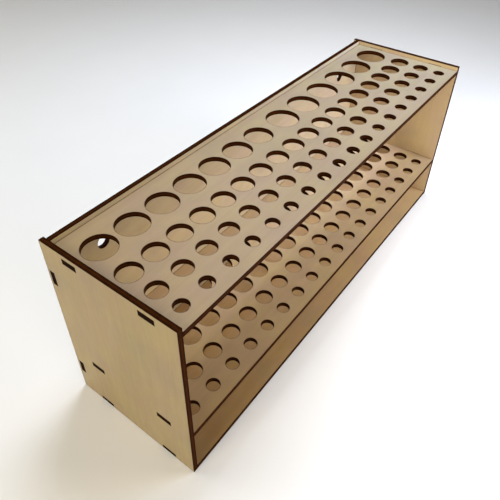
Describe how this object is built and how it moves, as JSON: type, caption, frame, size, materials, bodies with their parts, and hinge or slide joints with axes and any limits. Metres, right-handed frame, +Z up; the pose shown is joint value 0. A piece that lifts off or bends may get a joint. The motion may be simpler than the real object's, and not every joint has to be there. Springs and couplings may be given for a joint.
{
  "type": "paint rack organizer",
  "caption": "Open-fronted plywood rack for paint tubes and brushes, with two shelves of round holes in line above each other, joined by tabs and slots.",
  "frame": {"origin": "on the ground, at the middle of the outer length and depth", "axes": "+X along the rack, +Y from the open front to the back panel, +Z up"},
  "size_m": [0.312, 0.0886, 0.12],
  "materials": {
    "plywood": "matte"
  },
  "bodies": {
    "root": {"left_end": "plywood", "right_end": "plywood", "back_panel": "plywood", "upper_shelf": "plywood", "lower_shelf": "plywood", "bottom_panel": "plywood"}
  },
  "joints": []
}
